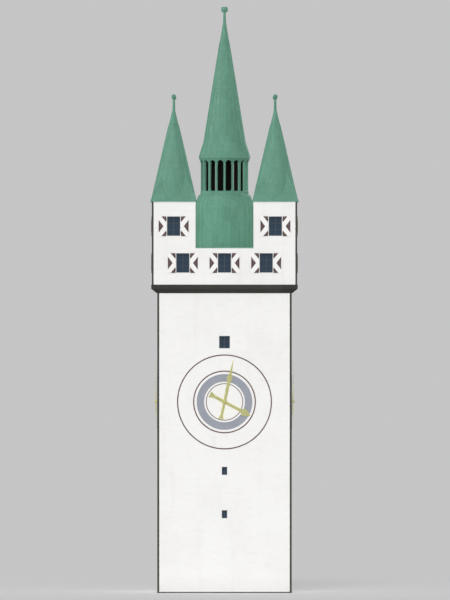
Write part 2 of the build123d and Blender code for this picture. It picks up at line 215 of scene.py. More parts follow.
def makeObject(name, bm, materials):
    mesh = bpy.data.meshes.new(name)
    bm.to_mesh(mesh)
    bm.free()
    for material in materials:
        mesh.materials.append(material)
    made = bpy.data.objects.new(name, mesh)
    bpy.context.scene.collection.objects.link(made)
    return made


def addPiece(name, bm, materials, body="tower"):
    piece = makeObject(name, bm, materials)
    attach(piece, body)
    return piece


def join(bm, part):
    # moves what one mesh holds into another
    mesh = bpy.data.meshes.new("part")
    part.to_mesh(mesh)
    part.free()
    bm.from_mesh(mesh)
    bpy.data.meshes.remove(mesh)


def edgesOf(verts):
    # the edges at some vertices, each once and always in the same order
    return list(dict.fromkeys(edge for vert in verts for edge in vert.link_edges))


def facesOf(verts):
    return list(dict.fromkeys(face for vert in verts for face in vert.link_faces))


def allOf(bm):
    return bm.verts[:] + bm.edges[:] + bm.faces[:]


def addBlock(bm, middle, size):
    spot = Matrix.Translation(middle) @ Matrix.Diagonal((*size, 1.0))
    return bmesh.ops.create_cube(bm, size=1.0, matrix=spot)["verts"]


def addBar(bm, start, end, facing, width, height):
    # slim box from start to end, standing on a surface that faces along facing
    start, end = Vector(start), Vector(end)
    along = (end - start).normalized()
    across = along.cross(Vector(facing)).normalized()
    up = across.cross(along)
    spot = Matrix((across * width, end - start, up * height)).transposed().to_4x4()
    spot.translation = (start + end + up * height) / 2
    return bmesh.ops.create_cube(bm, size=1.0, matrix=spot)["verts"]


def addPrism(bm, outline, sweep):
    # flat outline swept along a vector
    near = [bm.verts.new(spot) for spot in outline]
    made = bmesh.ops.extrude_face_region(bm, geom=[bm.faces.new(near)], use_keep_orig=True)["geom"]
    far = [part for part in made if isinstance(part, bmesh.types.BMVert)]
    bmesh.ops.translate(bm, vec=sweep, verts=far)
    bmesh.ops.recalc_face_normals(bm, faces=facesOf(near + far))


mergeGap = 1e-5  # corners nearer than this become one


def addTurned(bm, outline, centre, axis, steps, closed=True, sweep=2 * pi):
    # outline spun round an axis; an open outline starts and ends on that axis
    part = bmesh.new()
    spots = [part.verts.new(spot) for spot in outline]
    ends = spots[1:] + spots[:1] if closed else spots[1:]
    lines = [part.edges.new(pair) for pair in zip(spots, ends)]
    full = sweep == 2 * pi
    bmesh.ops.spin(
        part, geom=spots + lines, cent=centre, axis=axis, angle=sweep, steps=steps, use_merge=full
    )
    bmesh.ops.remove_doubles(part, verts=part.verts[:], dist=mergeGap)
    if not full:
        bmesh.ops.holes_fill(part, edges=[e for e in part.edges if e.is_boundary], sides=0)
    bmesh.ops.recalc_face_normals(part, faces=part.faces[:])
    join(bm, part)


def turnMesh(bm, angle):
    bmesh.ops.rotate(bm, cent=(0, 0, 0), matrix=Matrix.Rotation(angle, 3, "Z"), verts=bm.verts[:])


def roundAxis(bm, count):
    # repeats what the mesh holds round the tower's axis
    bmesh.ops.spin(
        bm,
        geom=allOf(bm),
        cent=(0, 0, 0),
        axis=(0, 0, 1),
        angle=2 * pi * (count - 1) / count,
        steps=count - 1,
        use_duplicate=True,
    )


def onEachSide(bm):
    roundAxis(bm, len(sides))


def softenEdges(bm, edges, offset):
    bmesh.ops.bevel(bm, geom=edges, offset=offset, affect="EDGES", segments=1, profile=0.5, material=-1)


# In each look below, a Noise is its scale, detail and roughness, a Band is from, to, share at its end
# and share at its start, a Height is a share of the relief, and a bump is its strength and depth.

# lime render with dark painted lines down the corners and along the foot
renderLook = {
    "white": (0.885, 0.880, 0.868),
    "shade": (0.770, 0.758, 0.730),
    "splash": (0.52, 0.50, 0.46),
    "edge": (0.042, 0.043, 0.035),
    "edgeWorn": (0.066, 0.067, 0.057),
    "shaftLine": 0.135,
    "keeperLine": 0.125,
    "footLine": 0.075,
    "wander": 0.014,  # of the brushed edge of the lines
    "wanderNoise": (5.0, 4.0, 0.55),
    "wornBand": (0.42, 0.68),
    "cloudNoise": (0.32, 5.0, 0.55),
    "cloudBand": (0.42, 0.72, 0.30),
    "runsStretch": (1.6, 1.6, 0.09),
    "runsNoise": (1.0, 4.0, 0.6),
    "runsBand": (0.52, 0.78, 0.30),
    "floatStretch": (1.5, 1.5, 4.2),
    "floatNoise": (1.0, 7.0, 0.66),
    "floatBand": (0.50, 0.68, 0.24),
    "pitsNoise": (55.0, 3.0, 0.6),
    "pitsBand": (0.56, 0.74, 0.50),
    "pitsHeight": 0.15,
    "grainNoise": (22.0, 6.0, 0.65),
    "grainHeight": 0.5,
    "trowelNoise": (2.4, 3.0, 0.55),
    "splashBand": (0.2, 1.9, 0.0, 0.22),
    "splashWander": 0.8,
    "rough": 0.88,
    "roughSpread": 0.08,
    "bump": (0.6, 0.024),
}


def renderPaint(name, face, line):
    look = renderLook
    p = newPaint(name)
    spot = p.place()
    x, y, z = p.axes(spot)
    cloud = p.noise(spot, *look["cloudNoise"])
    runs = p.noise(p.place(stretch=look["runsStretch"]), *look["runsNoise"])
    floated = p.noise(p.place(stretch=look["floatStretch"]), *look["floatNoise"])
    pits = p.noise(spot, *look["pitsNoise"])
    grain = p.noise(spot, *look["grainNoise"])
    trowel = p.noise(spot, *look["trowelNoise"])
    tone = cloud.step(*look["cloudBand"]) + runs.step(*look["runsBand"])
    tone = tone + floated.step(*look["floatBand"]) + pits.step(*look["pitsBand"])
    colour = p.mix(tone, look["white"], look["shade"])
    splash = (z + cloud * look["splashWander"]).step(*look["splashBand"])
    colour = p.mix(splash, colour, look["splash"])
    wander = (p.noise(spot, *look["wanderNoise"]) - 0.5) * look["wander"]
    corner = (abs(x) + wander > face - line) * (abs(y) + wander > face - line)
    foot = z + wander < look["footLine"]
    dark = p.mix(grain.step(*look["wornBand"]), look["edge"], look["edgeWorn"])
    relief = trowel + grain * look["grainHeight"] + pits * look["pitsHeight"]
    return p.surface(
        {
            "Base Color": p.mix(corner | foot, colour, dark),
            "Roughness": look["rough"] + grain * look["roughSpread"],
            "Normal": p.bump(relief, *look["bump"]),
        }
    )


# green copper in sheets round an axis, with dark runs, pale bloom and brown specks
copperPans = {  # sheets round the axis, height of a sheet
    "drum": (28, 0.95),
    "spire": (20, 1.05),
    "turret": (16, 0.90),
    "deck": (8, 1.0),
}
copperLook = {
    "deep": (0.069, 0.198, 0.139),
    "mid": (0.109, 0.276, 0.197),
    "light": (0.153, 0.357, 0.263),
    "brown": (0.105, 0.085, 0.055),
    "bloom": (0.245, 0.465, 0.370),
    "age": 0.44,  # from deep at 0 to light at 1
    "sheetSpread": 0.22,
    "panSeed": 7,
    "courseSeed": 3,
    "cloudSpread": 0.50,
    "cloudNoise": (0.9, 5.0, 0.55),
    "runsStretch": (3.2, 3.2, 0.16),
    "runsNoise": (1.0, 5.0, 0.62),
    "runsBand": (0.52, 0.80, 0.30),
    "streaksStretch": (11.0, 11.0, 0.4),
    "streaksNoise": (1.0, 5.0, 0.6),
    "streaksBand": (0.52, 0.72, 0.30),
    "bloomNoise": (15.0, 5.0, 0.7),
    "bloomBand": (0.54, 0.72, 0.40),
    "bloomHeight": 0.2,
    "specksNoise": (9.0, 6.0, 0.7),
    "specksBand": (0.55, 0.72, 0.45),
    "specksHeight": 0.4,
    "rough": 0.62,
    "roughSpread": 0.18,
    "gloss": 0.35,
    "bump": (0.35, 0.012),
}


def copperPaint(name, kind, centre=(0.0, 0.0)):
    look = copperLook
    pans, course = copperPans[kind]
    p = newPaint(name)
    spot = p.place(shift=(-centre[0], -centre[1], 0.0))
    x, y, z = p.axes(spot)
    pan = (p.maths("ARCTAN2", y, x) * (pans / (2 * pi))).floor()
    sheet = pan * look["panSeed"] + (z / course + pan / 2).floor() * look["courseSeed"]
    cloud = p.noise(spot, *look["cloudNoise"])
    runs = p.noise(p.place(stretch=look["runsStretch"]), *look["runsNoise"])
    streaks = p.noise(p.place(stretch=look["streaksStretch"]), *look["streaksNoise"])
    bloom = p.noise(spot, *look["bloomNoise"])
    specks = p.noise(spot, *look["specksNoise"])
    age = look["age"] + (p.chance(sheet) - 0.5) * look["sheetSpread"] + (cloud - 0.5) * look["cloudSpread"]
    age = age - runs.step(*look["runsBand"])
    colour = p.ramp(age, (0.0, look["deep"]), (0.5, look["mid"]), (1.0, look["light"]))
    colour = p.mix(streaks.step(*look["streaksBand"]), colour, look["bloom"])
    colour = p.mix(bloom.step(*look["bloomBand"]), colour, look["bloom"])
    colour = p.mix(specks.step(*look["specksBand"]), colour, look["brown"])
    relief = cloud + specks * look["specksHeight"] + bloom * look["bloomHeight"]
    return p.surface(
        {
            "Base Color": colour,
            "Roughness": look["rough"] + cloud * look["roughSpread"],
            "Specular IOR Level": look["gloss"],
            "Normal": p.bump(relief, *look["bump"]),
        }
    )


# small pieces in one finish with a slight cloud and grain
plainTones = {  # first tone, second tone, scale of the cloud, roughness, depth of the grain
    "seamCopper": ((0.105, 0.252, 0.182), (0.140, 0.318, 0.232), 1.1, 0.62, 0.004),
    "greyMortar": ((0.030, 0.030, 0.026), (0.050, 0.050, 0.044), 6.0, 0.85, 0.002),
    "framePaint": ((0.030, 0.046, 0.066), (0.042, 0.060, 0.082), 3.0, 0.50, 0.002),
    "sillStone": ((0.62, 0.61, 0.58), (0.72, 0.71, 0.68), 2.0, 0.80, 0.002),
    # the grey of the reveal linings is painted shade for the window recesses
    "revealShadePaint": ((0.46, 0.45, 0.43), (0.55, 0.54, 0.52), 1.5, 0.85, 0.002),
    "linePaint": ((0.096, 0.050, 0.048), (0.120, 0.068, 0.064), 1.2, 0.70, 0.002),
    "blackIron": ((0.018, 0.018, 0.018), (0.035, 0.032, 0.030), 8.0, 0.50, 0.002),
}
plainLook = {
    "cloudDetail": (5.0, 0.55),  # detail and roughness of the noise
    "cloudBand": (0.3, 0.75),
    "grainDetail": (4.0, 0.55),
    "grainFiner": 14,  # than the cloud
    "roughSpread": 0.12,
    "bump": 0.3,
}


def plainPaint(name):
    look = plainLook
    first, second, scale, rough, depth = plainTones[name]
    p = newPaint(name)
    spot = p.place()
    cloud = p.noise(spot, scale, *look["cloudDetail"])
    grain = p.noise(spot, scale * look["grainFiner"], *look["grainDetail"])
    return p.surface(
        {
            "Base Color": p.mix(cloud.step(*look["cloudBand"]), first, second),
            "Roughness": rough + grain * look["roughSpread"],
            "Normal": p.bump(grain, look["bump"], depth),
        }
    )


timberTones = {  # dark, light, stretch of the grain
    # post timber is near black: partly dark wood, partly painted shade of the lantern's dark inside
    "postTimberAndShade": ((0.003, 0.003, 0.0025), (0.008, 0.0075, 0.0065), (9.0, 9.0, 0.6)),
    "floorTimber": ((0.16, 0.10, 0.06), (0.28, 0.19, 0.12), (0.8, 12.0, 8.0)),
}
timberLook = {
    "grainNoise": (1.0, 6.0, 0.65),
    "grainBand": (0.3, 0.7),
    "rough": 0.75,
    "roughSpread": 0.15,
    "gloss": 0.03,
    "bump": (0.4, 0.004),
}


def timberPaint(name):
    look = timberLook
    dark, light, stretch = timberTones[name]
    p = newPaint(name)
    grain = p.noise(p.place(stretch=stretch), *look["grainNoise"])
    return p.surface(
        {
            "Base Color": p.mix(grain.step(*look["grainBand"]), dark, light),
            "Roughness": look["rough"] + grain * look["roughSpread"],
            "Specular IOR Level": look["gloss"],
            "Normal": p.bump(grain, *look["bump"]),
        }
    )


# old window glass, its dark colour painted shade of the unlit room behind it
glassLook = {
    "dark": (0.026, 0.045, 0.070),
    "light": (0.036, 0.059, 0.088),
    "waveNoise": (2.1, 2.0, 0.55),
    "rough": 0.16,
    "roughSpread": 0.08,
    "gloss": 0.20,
    "bump": (0.08, 0.004),
}


def glassPaint():
    look = glassLook
    p = newPaint("darkGlass")
    wave = p.noise(p.place(), *look["waveNoise"])
    return p.surface(
        {
            "Base Color": p.mix(wave, look["dark"], look["light"]),
            "Roughness": look["rough"] + wave * look["roughSpread"],
            "Specular IOR Level": look["gloss"],
            "Normal": p.bump(wave, *look["bump"]),
        }
    )


giltLook = {
    "bright": (0.53, 0.520, 0.228),
    "worn": (0.43, 0.422, 0.182),
    "wearNoise": (3.0, 6.0, 0.6),
    "wearBand": (0.35, 0.75),
    "fineNoise": (30.0, 4.0, 0.55),
    "metal": 0.30,
    "rough": 0.42,
    "roughSpread": 0.16,
    "bump": (0.15, 0.002),
}


def giltPaint():
    look = giltLook
    p = newPaint("oldGilt")
    spot = p.place()
    wear = p.noise(spot, *look["wearNoise"])
    fine = p.noise(spot, *look["fineNoise"])
    return p.surface(
        {
            "Base Color": p.mix(wear.step(*look["wearBand"]), look["bright"], look["worn"]),
            "Metallic": look["metal"],
            "Roughness": look["rough"] + fine * look["roughSpread"],
            "Normal": p.bump(fine, *look["bump"]),
        }
    )


# blue-grey chapter ring with faint dark runs
ringLook = {
    "first": (0.292, 0.311, 0.365),
    "second": (0.322, 0.337, 0.384),
    "run": (0.23, 0.24, 0.27),
    "cloudNoise": (1.6, 5.0, 0.55),
    "cloudBand": (0.35, 0.7),
    "runsStretch": (5.0, 5.0, 0.5),
    "runsNoise": (1.0, 4.0, 0.55),
    "runsBand": (0.6, 0.8, 0.3),
    "rough": 0.55,
    "roughSpread": 0.2,
    "bump": (0.15, 0.004),
}


def ringPaint():
    look = ringLook
    p = newPaint("chapterRing")
    cloud = p.noise(p.place(), *look["cloudNoise"])
    runs = p.noise(p.place(stretch=look["runsStretch"]), *look["runsNoise"])
    colour = p.mix(cloud.step(*look["cloudBand"]), look["first"], look["second"])
    return p.surface(
        {
            "Base Color": p.mix(runs.step(*look["runsBand"]), colour, look["run"]),
            "Roughness": look["rough"] + cloud * look["roughSpread"],
            "Normal": p.bump(cloud, *look["bump"]),
        }
    )


shaftWhite = renderPaint("shaftRender", shaftFace, renderLook["shaftLine"])
keeperWhite = renderPaint("keeperRender", keeperFace, renderLook["keeperLine"])
seamCopper = plainPaint("seamCopper")
mortar = plainPaint("greyMortar")
frameBlue = plainPaint("framePaint")
sillStone = plainPaint("sillStone")
revealShadePaint = plainPaint("revealShadePaint")
lineBrown = plainPaint("linePaint")
iron = plainPaint("blackIron")
gilt = giltPaint()
blueRing = ringPaint()

for side in sides:
    dress(shaftWhite, f"shaft_wall_{side}")
    dress(keeperWhite, f"keeper_wall_{side}")
    dress(gilt, f"hour_hand_{side}", f"minute_hand_{side}")
for corner, turn in corners.items():
    centre = Matrix.Rotation(turn, 3, "Z") @ Vector((turretOffset, -turretOffset, 0))
    dress(keeperWhite, f"turret_{corner}")
    dress(copperPaint(f"turretCopper_{corner}", "turret", centre), f"turret_spire_{corner}")
dress(copperPaint("drumCopper", "drum"), "drum", "lantern_floor", "lantern_columns", "lantern_arches")
dress(copperPaint("spireCopper", "spire"), "spire", "spire_finial", "turret_finials")
dress(copperPaint("deckCopper", "deck"), "roof_deck")
# lantern posts and ceiling take the near-black timber, painted shade for the lantern's inside
dress(timberPaint("postTimberAndShade"), "king_post", "lantern_posts", "lantern_ceiling")
dress(timberPaint("floorTimber"), "keeper_floor")
dress(frameBlue, "shaft_frames", "keeper_frames", "turret_frames")
dress(glassPaint(), "shaft_glass", "keeper_glass", "turret_glass")
dress(blueRing, "dial_rings")
dress(gilt, "hand_bushes")
print("finishes on")

# pale studio: a floor that fades to the backdrop, a soft key, and fills that cast no shadow
stageLook = {
    "back": 0.56,
    "floor": 0.575,
    "floorReach": 320.0,
    "floorSteps": 64,
    "fade": (16.0, 70.0),  # metres from the tower's axis
    "sky": 0.34,
    "soft": radians(16),
    "suns": (  # name, where it comes from, power, shadow
        ("keySun", (-0.08, -0.83, 0.55), 0.74, True),
        ("leftSun", (-0.86, -0.40, 0.32), 2.00, False),
        ("rightSun", (0.85, -0.40, 0.34), 1.05, False),
        ("backSun", (0.25, 0.87, 0.42), 1.40, False),
    ),
    "cameraAway": 1000.0,
    "cameraSees": (10.0, 2000.0),  # nearest and farthest
    "sensor": 36.0,  # millimetres
    "frameHeight": 40.8,
    "aimX": 0.034,
    "aimZ": 19.83,
}


def addSun(name, comesFrom, power, shadow):
    sun = bpy.data.lights.new(name, "SUN")
    sun.energy = power
    sun.angle = stageLook["soft"]
    sun.use_shadow = shadow
    lamp = bpy.data.objects.new(name, sun)
    lamp.rotation_mode = "QUATERNION"
    lamp.rotation_quaternion = (-Vector(comesFrom)).to_track_quat("-Z", "Y")
    bpy.context.scene.collection.objects.link(lamp)


def makeFloor(backGrey):
    p = newPaint("paleFloor")
    x, y = p.axes(p.place())[:2]
    away = p.maths("SQRT", x * x + y * y)
    lit = p.node("ShaderNodeBsdfDiffuse", {}, {"Color": (stageLook["floor"],) * 3})
    glow = p.node("ShaderNodeEmission", {}, {"Color": backGrey, "Strength": 1.0})
    shader = p.node("ShaderNodeMixShader", {}, {0: away.step(*stageLook["fade"]), 1: lit, 2: glow})
    p.node("ShaderNodeOutputMaterial", {}, {"Surface": shader})
    bm = bmesh.new()
    bmesh.ops.create_circle(
        bm, cap_ends=True, segments=stageLook["floorSteps"], radius=stageLook["floorReach"]
    )
    floor = makeObject("floor", bm, [p.owner])


def makeWorld(backGrey):
    # the sky lights the tower; eye, gloss and glass see the grey backdrop
    world = bpy.data.worlds.new("studio")
    bpy.context.scene.world = world
    w = Paint(world)
    rays = ("Is Camera Ray", "Is Glossy Ray", "Is Transmission Ray")
    camera, gloss, through = w.node("ShaderNodeLightPath", pick=rays)
    sky = w.node("ShaderNodeBackground", {}, {"Color": (1.0, 1.0, 1.0), "Strength": stageLook["sky"]})
    back = w.node("ShaderNodeBackground", {}, {"Color": backGrey, "Strength": 1.0})
    shader = w.node("ShaderNodeMixShader", {}, {0: camera | gloss | through, 1: sky, 2: back})
    w.node("ShaderNodeOutputWorld", {}, {"Surface": shader})


def makeCamera():
    camera = bpy.data.cameras.new("camera")
    camera.sensor_width = stageLook["sensor"]
    camera.lens = camera.sensor_width * stageLook["cameraAway"] / stageLook["frameHeight"]
    camera.clip_start, camera.clip_end = stageLook["cameraSees"]
    eye = bpy.data.objects.new("camera", camera)
    eye.location = (stageLook["aimX"], -stageLook["cameraAway"], stageLook["aimZ"])
    eye.rotation_euler = (radians(90), 0, 0)
    bpy.context.scene.collection.objects.link(eye)
    bpy.context.scene.camera = eye


makeFloor((stageLook["back"],) * 3)
makeWorld((stageLook["back"],) * 3)
for sun in stageLook["suns"]:
    addSun(*sun)
makeCamera()
bpy.context.scene.view_settings.view_transform = "Standard"
print("stage, light and camera set")

# dial: three moulded lines on the render, and rims on the chapter ring
dialLook = {
    "circles": ((3.176, 0.090), (2.085, 0.090), (1.235, 0.060)),  # radius, width
    "proud": 0.014,
    "sink": 0.006,
    "rims": ((1.866, 0.036), (1.398, 0.036)),
    "rimProud": 0.012,
    "steps": 96,
}


def addMoulding(bm, radius, width, face, proud):
    # flat ring with sloped edges, in front of a face at y = -face
    low, high = dialLevel + radius - width / 2, dialLevel + radius + width / 2
    back, front = -face + dialLook["sink"], -face - proud
    outline = [(0, back, low), (0, front, low + proud), (0, front, high - proud), (0, back, high)]
    addTurned(bm, outline, (0, 0, dialLevel), (0, 1, 0), dialLook["steps"])


def makeDial():
    lines = bmesh.new()
    for radius, width in dialLook["circles"]:
        addMoulding(lines, radius, width, shaftFace, dialLook["proud"])
    onEachSide(lines)
    addPiece("dialCircles", lines, [lineBrown])
    rims = bmesh.new()
    for radius, width in dialLook["rims"]:
        addMoulding(rims, radius, width, ringFace, dialLook["rimProud"])
    onEachSide(rims)
    addPiece("ringRims", rims, [blueRing])


makeDial()

# raised spine on each hand, and a boss on the minute hand
handLook = {
    "hour": {"angle": radians(118), "face": 0.080, "back": -0.74, "tip": 1.30, "gap": 0.185},
    "minute": {"angle": radians(12), "face": 0.135, "back": -0.86, "tip": 1.38, "gap": 0.150},
    "spineWidth": 0.080,
    "spineHeight": 0.014,
    "spineSlopeShare": 0.8,
    "bossFoot": 0.165,
    "bossRadius": 0.100,
    "bossHeight": 0.045,
    "bossRise": 3,  # lines from its foot to its top
    "bossSteps": 24,
}


def addSpine(bm, hand, start, end):
    width, height = handLook["spineWidth"], handLook["spineHeight"]
    along = Vector((sin(hand["angle"]), 0, cos(hand["angle"])))
    spot = Vector((0, -shaftFace - hand["face"], dialLevel))
    made = addBar(bm, spot + along * start, spot + along * end, (0, -1, 0), width, height)
    top = [e for e in edgesOf(made) if all(v.co.y < spot.y - height / 2 for v in e.verts)]
    softenEdges(bm, top, height * handLook["spineSlopeShare"])


def addBoss(bm):
    foot = -shaftFace - handLook["bossFoot"]
    wide, tall = handLook["bossRadius"], handLook["bossHeight"]
    angles = [i * pi / 2 / handLook["bossRise"] for i in range(handLook["bossRise"])]
    dome = [(wide * cos(a), foot - tall * sin(a), dialLevel) for a in angles]
    outline = [(0, foot, dialLevel), *dome, (0, foot - tall, dialLevel)]
    addTurned(bm, outline, (0, 0, dialLevel), (0, 1, 0), handLook["bossSteps"], closed=False)


def makeHands():
    for side, turn in sides.items():
        for kind in ("hour", "minute"):
            hand = handLook[kind]
            bm = bmesh.new()
            addSpine(bm, hand, hand["back"], -hand["gap"])
            addSpine(bm, hand, hand["gap"], hand["tip"])
            if kind == "minute":
                addBoss(bm)
            turnMesh(bm, turn)
            addPiece(f"{kind}Spine_{side}", bm, [gilt], body=f"{kind}_hand_{side}")


makeHands()
print("dial and hands dressed")

# cornice of dressed stones on a dark bed
corniceLook = {
    "stones": 9,
    "joint": 0.010,
    "edge": 0.012,
    "footStand": 0.040,
    "fascia": 0.280,
    "bedBack": 0.030,
    "overrun": 0.100,  # past the corner, cut off by the mitre
}
stoneLook = {
    "dark": (0.019, 0.020, 0.015),
    "light": (0.042, 0.044, 0.034),
    "run": (0.060, 0.062, 0.050),
    "speck": (0.085, 0.086, 0.072),
    "stoneSeed": 5,
    "rightSeed": 3,
    "backSeed": 11,
    "cloudNoise": (1.4, 6.0, 0.6),
    "grainNoise": (38.0, 4.0, 0.7),
    "runsStretch": (4.0, 4.0, 0.4),
    "runsNoise": (1.0, 4.0, 0.55),
    "runsBand": (0.58, 0.8, 0.4),
    "speckBand": (0.56, 0.72, 0.45),
    "rough": 0.78,
    "roughSpread": 0.15,
    "bump": (0.7, 0.014),
}
stoneLength = 2 * corniceFace / corniceLook["stones"]


def stonePaint():
    # each stone has a tone of its own
    look = stoneLook
    p = newPaint("darkStone")
    spot = p.place()
    x, y = p.axes(spot)[:2]
    onRight = abs(x) > abs(y)  # the right and left sides
    along = onRight * y + (1 - onRight) * x
    stone = (along / stoneLength + 0.5).floor() * look["stoneSeed"]
    stone = stone + onRight * look["rightSeed"] + (x + y > 0.0) * look["backSeed"]
    cloud = p.noise(spot, *look["cloudNoise"])
    grain = p.noise(spot, *look["grainNoise"])
    runs = p.noise(p.place(stretch=look["runsStretch"]), *look["runsNoise"])
    colour = p.mix((cloud + p.chance(stone)) / 2, look["dark"], look["light"])
    colour = p.mix(runs.step(*look["runsBand"]), colour, look["run"])
    return p.surface(
        {
            "Base Color": p.mix(grain.step(*look["speckBand"]), colour, look["speck"]),
            "Roughness": look["rough"] + grain * look["roughSpread"],
            "Normal": p.bump(grain + cloud, *look["bump"]),
        }
    )


def corniceOutline(x, inset):
    out, foot = corniceFace - inset, shaftFace + corniceLook["footStand"] - inset
    return [
        (x, -floorHalf, shaftTop),
        (x, -foot, shaftTop),
        (x, -out, keeperLevel - corniceLook["fascia"]),
        (x, -out, keeperLevel),
        (x, -floorHalf, keeperLevel),
    ]


def mitreEnds(bm):
    for hand in (-1, 1):
        bmesh.ops.bisect_plane(
            bm, geom=allOf(bm), plane_co=(0, 0, 0), plane_no=(hand, 1, 0), clear_outer=True
        )
        bmesh.ops.holes_fill(bm, edges=[e for e in bm.edges if e.is_boundary], sides=0)


def addStone(bm, start, end):
    stone = bmesh.new()
    addPrism(stone, corniceOutline(start, 0.0), (end - start, 0, 0))
    shown = [e for e in stone.edges if all(v.co.y < -shaftFace for v in e.verts)]
    softenEdges(stone, shown, corniceLook["edge"])
    mitreEnds(stone)
    join(bm, stone)


def addBed(bm):
    bed = bmesh.new()
    addPrism(bed, corniceOutline(-corniceFace, corniceLook["bedBack"]), (2 * corniceFace, 0, 0))
    mitreEnds(bed)
    for face in bed.faces:
        face.material_index = 1  # mortar
    join(bm, bed)


def makeCornice():
    darkStone = stonePaint()
    last = corniceLook["stones"] - 1
    for side, turn in sides.items():
        bm = bmesh.new()
        for i in range(corniceLook["stones"]):
            start = -corniceFace + i * stoneLength + corniceLook["joint"] / 2
            end = start + stoneLength - corniceLook["joint"]
            start -= corniceLook["overrun"] if i == 0 else 0.0
            end += corniceLook["overrun"] if i == last else 0.0
            addStone(bm, start, end)
        addBed(bm)
        bmesh.ops.recalc_face_normals(bm, faces=bm.faces[:])
        turnMesh(bm, turn)
        piece = addPiece(f"corniceStones_{side}", bm, [darkStone, mortar])
        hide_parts(f"cornice_{side}")


makeCornice()
print("cornice laid")

# copper roofs: standing seams, staggered laps, rolls along the edges
seamLook = {
    "width": 0.022,
    "hipWidth": 0.0352,
    "height": 0.027,
    "sink": 0.008,
    "runOut": 0.16,
    "lapHalf": 0.014,
    "lapHeight": 0.007,
    "lapSink": 0.006,
    "lapSteps": 4,
    "rollRadius": 0.022,
    "rollSides": 8,
    "rollSteps": 72,
    "drumWall": 2.76,
    "drumHead": ((1.80, 0.66), (1.746, 0.78), (1.66, 0.88)),  # radius, rise over the wall
    "drumLaps": ((0.92, 1.84, 2.70), (0.46, 1.38, 2.30)),
    "lipEdge": 0.060,
    "kneeRadius": 1.408,
    "kneeRise": 1.110,
    "spireTopRadius": 0.105,
    "shortSeamShare": 0.50,
    "longSeamShare": 0.86,
    "turretLaps": (1.95, 2.40),
    "coneInset": 0.020,
    "eaveEdge": 0.060,
    "turretTopRadius": 0.090,
    "broachHeight": 3.6,
    "turretShortRise": 3.5,
    "turretLongRise": 5.2,
}


def addSeam(bm, path, angle, width):
    # standing seam over (radius, level) points of a round roof, running out at its top
    spots = [Vector((radius, -width / 2, level)) for radius, level in path]
    last = spots[-1]
    back = spots[-2] - last
    spots.insert(-1, last + back.normalized() * min(seamLook["runOut"], back.length / 2))
    under, over = [], []
    for before, spot, after in zip(spots[:1] + spots, spots, spots[1:] + [last]):
        along = (after - before).normalized()
        out = Vector((along.z, 0, -along.x))
        under.append(spot - out * seamLook["sink"])
        over.append(spot if spot is last else spot + out * seamLook["height"])
    seam = bmesh.new()
    addPrism(seam, under + over[::-1], (0, width, 0))
    turnMesh(seam, angle)
    join(bm, seam)


def addLap(bm, radius, level, lean, first, last):
    # low fold across a pan from angle to angle; lean is how much the radius falls for each metre up
    half, sink, high = seamLook["lapHalf"], seamLook["lapSink"], seamLook["lapHeight"]
    low, top = radius + half * lean, radius - half * lean
    outline = [
        (low - sink, 0, level - half),
        (low + high, 0, level - half),
        (top + high, 0, level + half),
        (top - sink, 0, level + half),
    ]
    lap = bmesh.new()
    addTurned(lap, outline, (0, 0, 0), (0, 0, 1), seamLook["lapSteps"], sweep=last - first)
    turnMesh(lap, first)
    join(bm, lap)


def addRoll(bm, radius, level):
    # round roll along a circular edge
    size, count = seamLook["rollRadius"], seamLook["rollSides"]
    angles = [2 * pi * i / count for i in range(count)]
    outline = [(radius + size * cos(a), 0, level + size * sin(a)) for a in angles]
    addTurned(bm, outline, (0, 0, 0), (0, 0, 1), seamLook["rollSteps"])


def makeDrumSeams():
    pans = copperPans["drum"][0]
    pan = 2 * pi / pans
    shoulder = terraceLevel + seamLook["drumWall"]
    path = [(drumRadius, terraceLevel), (drumRadius, shoulder)]
    path += [(radius, shoulder + rise) for radius, rise in seamLook["drumHead"]]
    bm = bmesh.new()
    for i, laps in enumerate(seamLook["drumLaps"]):
        addSeam(bm, path, i * pan, seamLook["width"])
        for rise in laps:
            addLap(bm, drumRadius, terraceLevel + rise, 0.0, i * pan, (i + 1) * pan)
    roundAxis(bm, pans // 2)
    for radius, level in (
        (drumRadius, terraceLevel),
        (lanternFloorRadius, drumTop),
        (lipRadius, spireLevel),
    ):
        addRoll(bm, radius, level + seamLook["rollRadius"])
    addPiece("drumSeams", bm, [seamCopper])


spireFoot = spireLevel + seamLook["lipEdge"]
spireKnee = spireLevel + seamLook["kneeRise"]
spireLean = (seamLook["kneeRadius"] - seamLook["spireTopRadius"]) / (spireTop - spireKnee)


def spireRadius(level):
    # radius of the main spire's outside at a level
    if level > spireKnee:
        return seamLook["kneeRadius"] - spireLean * (level - spireKnee)
    share = (level - spireFoot) / (spireKnee - spireFoot)
    return lipRadius + (seamLook["kneeRadius"] - lipRadius) * share


def makeSpireSeams():
    pans, course = copperPans["spire"]
    pan = 2 * pi / pans
    shortTop = spireLevel + (spireTop - spireLevel) * seamLook["shortSeamShare"]
    longTop = spireLevel + (spireTop - spireLevel) * seamLook["longSeamShare"]
    bm = bmesh.new()
    for i, (seamTop, lapsTop) in enumerate(((longTop, spireTop - course), (shortTop, shortTop))):
        path = [(spireRadius(level), level) for level in (spireFoot, spireKnee, seamTop)]
        addSeam(bm, path, i * pan, seamLook["width"])
        level = spireKnee + course * (i + 1) / 2
        while level < lapsTop:
            last = i + 1 if level < shortTop else 2  # above the short seams a lap spans two pans
            addLap(bm, spireRadius(level), level, spireLean, i * pan, last * pan)
            level += course
    roundAxis(bm, pans // 2)
    addRoll(bm, spireRadius(longTop), longTop)
    addPiece("spireSeams", bm, [seamCopper])


